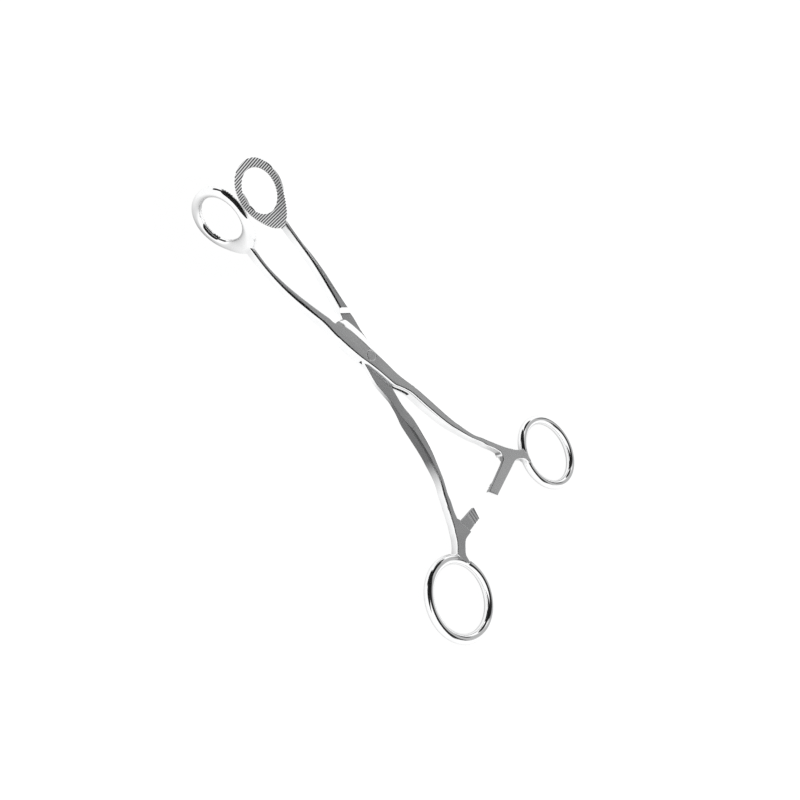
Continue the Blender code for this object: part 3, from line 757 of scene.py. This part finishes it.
def groove_comb(axes):
    """Wedges that cut the cross grooves into the gripping face, from the tip of the jaw to its root."""
    root, along, back = axes
    tip = JAW_CENTRE + sum(JAW_OUTER)
    foot = (SERRATION_PITCH - SERRATION_LAND) / 2
    wider = foot * (SERRATION_DEPTH + GROOVE_CUT_ABOVE) / SERRATION_DEPTH
    flat = [(-wider, -GROOVE_CUT_ABOVE), (wider, -GROOVE_CUT_ABOVE), (0.0, SERRATION_DEPTH)]
    loops = []
    for z in (-GROOVE_HALF_LENGTH, GROOVE_HALF_LENGTH):
        loops.append([root + along * (tip + a) + back * b + Vector((0, 0, z)) for a, b in flat])
    wedge = mesh_object("wedge", lambda shape: stack_loops(shape, loops))
    count = int((tip + SERRATED_BELOW_ROOT) / SERRATION_PITCH) + 1
    return wedge_row("cross_grooves", wedge, count, along * -SERRATION_PITCH, 0.0)


def ratchet_gaps(first_deg, level):
    """Wedges that open the gaps between the ratchet teeth, turned about the rivet by one pitch each."""
    top = level + TOOTH_CUT_ABOVE
    start = first_deg + TOOTH_LAND_DEG
    end = first_deg + TOOTH_PITCH_DEG
    flat = [(start, level), (end - TOOTH_FLANK_DEG, level - TOOTH_HEIGHT), (end, level), (end, top), (start, top)]
    loops = []
    for radius in (TOOTH_INNER, TOOTH_OUTER):
        loop = []
        for angle, z in flat:
            swing = math.radians(angle)
            loop.append(Vector((radius * math.sin(swing), -radius * math.cos(swing), z)))
        loops.append(loop)
    wedge = mesh_object("gap", lambda shape: stack_loops(shape, loops))
    return wedge_row("ratchet_gaps", wedge, TOOTH_COUNT, Vector((0, 0, 0)), math.radians(TOOTH_PITCH_DEG))


def cut_arm(half, reach, first_deg, relief):
    """Half lap, teeth and the relief behind them, on the face toward +Z."""
    lap = -RATCHET_GAP / 2
    combine(half, arm_recess(lap, reach), "DIFFERENCE")
    if relief > 0:
        end = first_deg + TOOTH_COUNT * TOOTH_PITCH_DEG
        loop = polar_loop(end, RELIEF_END_DEG, RELIEF_INNER, TOOTH_OUTER)
        combine(half, prism("relief", loop, lap - relief, RELIEF_TOP), "DIFFERENCE")
    combine(half, ratchet_gaps(first_deg, lap), "DIFFERENCE")


def add_ends(half, offset, lean_deg):
    """Ring, jaw with its grooves and the rivet hole."""
    axes = jaw_axes(offset, lean_deg)
    combine(half, finger_ring(), "UNION")
    combine(half, oval_jaw(axes), "UNION")
    combine(half, groove_comb(axes), "DIFFERENCE")
    combine(half, rivet_hole(), "DIFFERENCE")


def mirror(half, axis):
    """Mirror a half along one axis, its faces kept pointing outwards."""
    shape = bmesh.new()
    shape.from_mesh(half.data)
    for vertex in shape.verts:
        vertex.co[axis] = -vertex.co[axis]
    bmesh.ops.reverse_faces(shape, faces=shape.faces)
    shape.to_mesh(half.data)
    shape.free()


def box_half():
    stations = [Vector(station) * MM for station in BOX_STATIONS[4:-2]]
    left = [Vector((x + (LEFT_END_EASE if y < -TENON_REACH else 0.0), y)) for y, x, right, bevel in stations]
    right = [Vector(BOX_NOTCH) * MM]
    right += [Vector((x - max(bevel, BAR_INSIDE_BOX), y)) for y, start, x, bevel in stations[:-1]]
    arm = (BOX_ARM_REACH, BOX_ARM_TIP_LEAN)
    half = rounded_bar("box_half", half_outline(BOX_JAW_OFFSET, arm, (left, right), RING_SHANK[1:]))
    cut_arm(half, BOX_ARM_REACH, BOX_FIRST_TOOTH_DEG, RATCHET_RELIEF)
    combine(half, lock_box(), "UNION")
    combine(half, slot_cutter(), "DIFFERENCE")
    add_ends(half, BOX_JAW_OFFSET, BOX_JAW_LEAN_DEG)
    mirror(half, 2)
    return half


# finishes in the order of their slots on each half, the third a dark steel that stands for painted shade, and the
# limits that part them
SATIN, POLISHED, PAINTED_SHADE = 0, 1, 2
JAW_STARTS = -1.5 * MM
ARM_AND_NECK_FROM = -0.7 * LOCK_TO_RING
FLAT_AT_LOCK, FLAT_AT_ARM = 0.9, 0.985
FLAT_SIDE_LEAN = 0.17
ARM_EDGE_LEAN = 0.3
GROOVE_FLANK = (0.3, 0.93)
GROOVE_ACROSS = 0.2
TOOTH_BAND = 21.0 * MM
TOOTH_FACES_UP = 0.2
RING_MARGIN = 2.2 * MM
RING_INNER_MARGIN = 1.4 * MM
# the neck beside the ring, as shares of the ring's two half axes
NECK_INSIDE = -0.72
NECK_HEIGHT = (0.3, 0.95)


def on_ring(place):
    """Whether a place lies on the finger ring, and not on the neck that carries it."""
    x, y = abs(place.x) - RING_SPREAD, place.y + LOCK_TO_RING
    if x < NECK_INSIDE * RING_SEMI_X and NECK_HEIGHT[0] * RING_SEMI_Y < y < NECK_HEIGHT[1] * RING_SEMI_Y:
        return False
    return math.hypot(x, y) < RING_SEMI_Y + RING_MARGIN and x > -RING_SEMI_X - RING_INNER_MARGIN


def on_teeth(face, teeth_deg):
    """Whether a face belongs to the toothed side of the ratchet arm."""
    place = face.center
    swing = math.degrees(math.atan2(abs(place.x), -place.y))
    along_arm = -LOCK_TO_RING < place.y < -LOCK_TO_RING + TOOTH_BAND
    return teeth_deg[0] < swing < teeth_deg[1] and along_arm and face.normal.z > TOOTH_FACES_UP


def shank_finish(face, teeth_deg):
    """Finish of a face anywhere but on the jaw."""
    place, normal = face.center, face.normal
    beyond_shank = place.y < ARM_AND_NECK_FROM
    least = FLAT_AT_ARM if beyond_shank else FLAT_AT_LOCK
    # the ratchet teeth get the dark steel: painted shade
    if on_teeth(face, teeth_deg):
        return PAINTED_SHADE
    if abs(normal.z) > least and abs(normal.x) < FLAT_SIDE_LEAN and not on_ring(place):
        return SATIN
    # the arm's walls that face the lock get the dark steel too: painted shade
    in_arm = beyond_shank and abs(place.x) < RING_SPREAD + ARM_ROOT_FROM_RING
    return PAINTED_SHADE if in_arm and normal.y > ARM_EDGE_LEAN else POLISHED


def finish_faces(half, offset, lean_deg, side, teeth_deg):
    """Satin on the flats, polish on walls, jaw and ring, and a dark steel as painted shade on the flanks of the
    gripping face's grooves.
    """
    axes = jaw_axes(offset, lean_deg)
    for vector in axes:
        vector.x *= side
    root, along, back = axes
    for face in half.data.polygons:
        from_root = face.center - root
        if from_root.dot(along) > JAW_STARTS:
            flank = GROOVE_FLANK[0] < abs(face.normal.dot(back)) < GROOVE_FLANK[1]
            across = abs(face.normal.dot(along)) > GROOVE_ACROSS
            # the groove flanks get the dark steel: painted shade in the grooves
            in_shaded_groove = flank and across and from_root.dot(back) < SERRATION_DEPTH
            face.material_index = PAINTED_SHADE if in_shaded_groove else POLISHED
        else:
            face.material_index = shank_finish(face, teeth_deg)


MERGE_WITHIN = 0.002 * MM
SHARP_FROM_DEG = 34.0


def soften(half):
    """Merge what the cuts left, lift the mesh to the rear face of the lock and smooth it between its edges."""
    shape = bmesh.new()
    shape.from_mesh(half.data)
    bmesh.ops.remove_doubles(shape, verts=shape.verts, dist=MERGE_WITHIN)
    bmesh.ops.dissolve_degenerate(shape, edges=shape.edges, dist=MERGE_WITHIN)
    bmesh.ops.triangulate(shape, faces=[face for face in shape.faces if len(face.verts) > 4])
    bmesh.ops.translate(shape, verts=shape.verts, vec=(0, 0, BOX_HALF_THICKNESS))
    shape.to_mesh(half.data)
    shape.free()
    for face in half.data.polygons:
        face.use_smooth = True
    half.data.set_sharp_from_angle(angle=math.radians(SHARP_FROM_DEG))
    weigh = half.modifiers.new("Weigh", "WEIGHTED_NORMAL")
    weigh.keep_sharp = True
    settle(half)


class Steel:
    """Node tree of one steel finish, built up step by step."""

    def __init__(self, name, colour, roughness):
        self.material = bpy.data.materials.new(name)
        self.material.use_nodes = True
        self.tree = self.material.node_tree
        self.shader = self.tree.nodes["Principled BSDF"]
        self.shader.inputs["Metallic"].default_value = 1.0
        self.shader.inputs["Base Color"].default_value = colour
        self.shader.inputs["Roughness"].default_value = roughness
        self.where = self.tree.nodes.new("ShaderNodeTexCoord").outputs["Object"]

    def noise(self, stretch, scale, detail):
        """Noise on the half's own coordinates, stretched along the instrument where it is brushed."""
        grain = self.tree.nodes.new("ShaderNodeMapping")
        grain.inputs["Scale"].default_value = stretch
        self.tree.links.new(self.where, grain.inputs["Vector"])
        noise = self.tree.nodes.new("ShaderNodeTexNoise")
        noise.inputs["Scale"].default_value = scale
        noise.inputs["Detail"].default_value = detail
        self.tree.links.new(grain.outputs[0], noise.inputs["Vector"])
        return noise.outputs[0]

    def tint(self, pattern, dark, light):
        """Let the colour follow a pattern from dark to light."""
        share = fade_step(self.tree, pattern, 0.3, 0.7)
        mix = self.tree.nodes.new("ShaderNodeMix")
        mix.data_type = "RGBA"
        mix.inputs[6].default_value = dark
        mix.inputs[7].default_value = light
        self.tree.links.new(share, mix.inputs[0])
        self.tree.links.new(mix.outputs[2], self.shader.inputs["Base Color"])

    def zone(self, low, high, fade):
        """1 between two places along the instrument, fading out beyond them."""
        parts = self.tree.nodes.new("ShaderNodeSeparateXYZ")
        self.tree.links.new(self.where, parts.inputs[0])
        rise = fade_step(self.tree, parts.outputs["Y"], low - fade, low)
        fall = fade_step(self.tree, parts.outputs["Y"], high, high + fade, 1.0, 0.0)
        return math_step(self.tree, "MULTIPLY", rise, fall)

    def dull(self, share, colour, roughness):
        """Blend the colour toward a darker one, used here as painted shade, and the roughness toward a duller one,
        where the share says so.
        """
        for label, kind, (own, duller, out), value in (("Base Color", "RGBA", (6, 7, 2), colour),
                                                       ("Roughness", "FLOAT", (2, 3, 0), roughness)):
            socket = self.shader.inputs[label]
            mix = self.tree.nodes.new("ShaderNodeMix")
            mix.data_type = kind
            self.tree.links.new(socket.links[0].from_socket, mix.inputs[own])
            mix.inputs[duller].default_value = value
            self.tree.links.new(share, mix.inputs[0])
            self.tree.links.new(mix.outputs[out], socket)

    def rough(self, pattern, low, high, smooth, dull):
        """Let the roughness follow a pattern from smooth to dull."""
        self.tree.links.new(fade_step(self.tree, pattern, low, high, smooth, dull), self.shader.inputs["Roughness"])

    def relief(self, height, depth, edge_radius):
        """Fine relief from a pattern, and edges that catch the light as broken ones do."""
        soft_edge = self.tree.nodes.new("ShaderNodeBevel")
        soft_edge.samples = 6
        soft_edge.inputs["Radius"].default_value = edge_radius
        bump = self.tree.nodes.new("ShaderNodeBump")
        bump.inputs["Strength"].default_value = 1.0
        bump.inputs["Distance"].default_value = depth
        self.tree.links.new(height, bump.inputs["Height"])
        self.tree.links.new(soft_edge.outputs[0], bump.inputs["Normal"])
        self.tree.links.new(bump.outputs[0], self.shader.inputs["Normal"])


def satin_steel(name, dark, light):
    """Flats ground along the shank and brushed: fine lines, faint cloudy tone."""
    steel = Steel(name, light, 0.28)
    lines = steel.noise((9.0, 0.35, 9.0), 420.0, 3.0)
    steel.tint(steel.noise((1.0, 1.0, 1.0), 130.0, 2.0), dark, light)
    steel.rough(lines, 0.3, 0.7, 0.22, 0.33)
    steel.relief(lines, 0.0000030, 0.00045)
    return steel


def polished_steel(name):
    """Buffed walls, backs and rings: a mirror with a soft waviness and hair-fine marks."""
    dark, light = (0.92, 0.925, 0.93, 1), (0.97, 0.972, 0.975, 1)
    steel = Steel(name, light, 0.08)
    waves = steel.noise((1.0, 1.0, 1.0), 190.0, 1.0)
    steel.tint(waves, dark, light)
    steel.rough(steel.noise((6.0, 1.2, 6.0), 900.0, 2.0), 0.35, 0.75, 0.05, 0.14)
    steel.relief(waves, 0.00006, 0.00018)
    return steel


def painted_shade_steel(name):
    """Dark steel as painted shade in the gripping face's grooves, on the ratchet teeth and on the arm's walls
    toward the lock, with fine cutter lines.
    """
    dark, light = (0.26, 0.262, 0.266, 1), (0.36, 0.362, 0.366, 1)
    steel = Steel(name, light, 0.3)
    lines = steel.noise((1.0, 1.0, 0.1), 2600.0, 2.0)
    steel.tint(lines, dark, light)
    steel.rough(lines, 0.3, 0.7, 0.2, 0.34)
    steel.relief(lines, 0.000004, 0.00004)
    return steel


def fit_half(half, node, jaw, teeth_deg, finishes):
    """Give the finished half its steels and let it stand for its solid."""
    soften(half)
    half.data.materials.clear()
    for steel in finishes:
        half.data.materials.append(steel.material)
    finish_faces(half, *jaw, teeth_deg)
    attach(half, node)
    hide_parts(node)


# each half's third finish is the dark steel that paints shade
box_finishes = (satin_steel("box_half_satin", (0.63, 0.635, 0.64, 1), (0.68, 0.685, 0.69, 1)),
                polished_steel("polished_steel"), painted_shade_steel("box_half_painted_shade"))
box = box_half()
box.name = "box_half_forging"
fit_half(box, "box_half", (BOX_JAW_OFFSET, BOX_JAW_LEAN_DEG, 1),
         (BOX_FIRST_TOOTH_DEG, BOX_FIRST_TOOTH_DEG + TOOTH_COUNT * TOOTH_PITCH_DEG), box_finishes)


# Tenon half
# The half that passes through the slot of the box, from the right jaw to the left finger ring, with a
# thin tenon between a sloped shoulder and a long ramp. Same steel, its flats painted a little darker as painted
# shade.

TENON_ARM_REACH = 8.5 * MM
TENON_ARM_TIP_LEAN = 0.3
TENON_JAW_OFFSET = 9.45 * MM
TENON_JAW_LEAN_DEG = 7.5
TENON_WIDTH = 7.2 * MM
TENON_DIRECTION = (-0.25, 1.0)
# the tenon from its jaw end to its ring end: share of its reach, share of its width
TENON_LINE = ((1.22, 0.56), (1.0, 0.75), (0.6, 0.8), (0.2, 1.0), (-0.2, 1.0), (-0.6, 0.98), (-0.9, 0.71))
SHOULDER_DISTANCE = 16.75 * MM
SHOULDER_DIRECTION = (-0.594, 0.805)
SHOULDER_RUN = 2.3 * MM
SHOULDER_STEPS = 10
SHOULDER_POWER = 1.7
RAMP_START = 21.6 * MM
RAMP_RUN = 12.0 * MM
RAMP_STEPS = 16
TENON_FIRST_TOOTH_DEG = 7.1
TENON_TEETH_DEG = (6.3, 10.2)


def profile_cutter(name, direction, profile, side):
    """Straight cutter: a profile of distance along a direction and height, run across the bar."""
    ahead = Vector(direction).normalized()
    across = Vector((-ahead.y, ahead.x)) * 2 * TENON_WIDTH
    loops = []
    for sign in (-1, 1):
        start = across * sign
        loops.append([Vector((start.x + ahead.x * d, start.y + ahead.y * d, side * z)) for d, z in profile])
    return mesh_object(name, lambda shape: stack_loops(shape, loops))


def shoulder_profile():
    """Tenon face, then the sloped shoulder toward the jaw."""
    face = TENON_HALF_THICKNESS
    rise = BOX_HALF_THICKNESS - face
    end = SHOULDER_DISTANCE + SHOULDER_RUN
    above = face + 2 * rise
    points = [(-TENON_WIDTH, face)]
    for k in range(SHOULDER_STEPS + 1):
        share = k / SHOULDER_STEPS
        points.append((SHOULDER_DISTANCE + SHOULDER_RUN * share, face + rise * share ** SHOULDER_POWER))
    return points + [(end + 0.1 * SHOULDER_RUN, above), (-TENON_WIDTH, above)]


def ramp_profile():
    """Tenon face, then the long ramp toward the ring."""
    face = TENON_HALF_THICKNESS
    rise = half_thickness(-RAMP_START - RAMP_RUN) - face
    above = face + 2 * rise
    points = [(-TENON_WIDTH / 2, face)]
    for k in range(RAMP_STEPS + 1):
        share = k / RAMP_STEPS
        points.append((RAMP_START + RAMP_RUN * share, face + rise * share * share * (3 - 2 * share)))
    return points + [(RAMP_START + 1.1 * RAMP_RUN, above), (-TENON_WIDTH / 2, above)]


def ring_direction():
    left, right = ring_shank(RING_SHANK)
    return (left[2] + right[2] - left[0] - right[0]).normalized()


def tenon_sides():
    """Left and right sides of the tenon through the lock."""
    lean = Vector(TENON_DIRECTION).normalized()
    half_width = Vector((TENON_WIDTH / 2, 0))
    left = [lean * TENON_REACH * share - half_width * width for share, width in TENON_LINE]
    right = [lean * TENON_REACH * share + half_width * width for share, width in TENON_LINE]
    return left, right


def tenon_half():
    arm = (TENON_ARM_REACH, TENON_ARM_TIP_LEAN)
    half = rounded_bar("tenon_half", half_outline(TENON_JAW_OFFSET, arm, tenon_sides(), RING_SHANK))
    cut_arm(half, TENON_ARM_REACH, TENON_FIRST_TOOTH_DEG, 0.0)
    for side in (1, -1):
        combine(half, profile_cutter("shoulder", SHOULDER_DIRECTION, shoulder_profile(), side), "DIFFERENCE")
        combine(half, profile_cutter("ramp", ring_direction(), ramp_profile(), side), "DIFFERENCE")
    add_ends(half, TENON_JAW_OFFSET, TENON_JAW_LEAN_DEG)
    mirror(half, 0)
    return half


def polished_steel_with_painted_shade(name):
    """Polished steel whose shank just below the lock is painted darker all round, as painted shade, and made
    rougher.
    """
    steel = polished_steel(name)
    # painted shade: a dark colour on the shank just below the lock
    steel.dull(steel.zone(-0.045, -0.020, 0.013), (0.29, 0.292, 0.296, 1), 0.8)
    return steel


# the darker satin of this half is painted shade
tenon_finishes = (satin_steel("tenon_half_satin_painted_shade", (0.50, 0.505, 0.51, 1), (0.56, 0.565, 0.57, 1)),
                  polished_steel_with_painted_shade("tenon_half_polish_painted_shade"), painted_shade_steel("tenon_half_painted_shade"))
tenon = tenon_half()
tenon.name = "tenon_half_forging"
fit_half(tenon, "tenon_half", (TENON_JAW_OFFSET, TENON_JAW_LEAN_DEG, -1), TENON_TEETH_DEG, tenon_finishes)


# Pivot rivet
# A steel pin with conical heads, riveted over and ground flush with both faces of the box.
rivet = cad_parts["pivot_rivet"]
rivet.data.materials.clear()
rivet_satin = satin_steel("rivet_satin", (0.62, 0.625, 0.63, 1), (0.67, 0.675, 0.68, 1))
rivet.data.materials.append(rivet_satin.material)
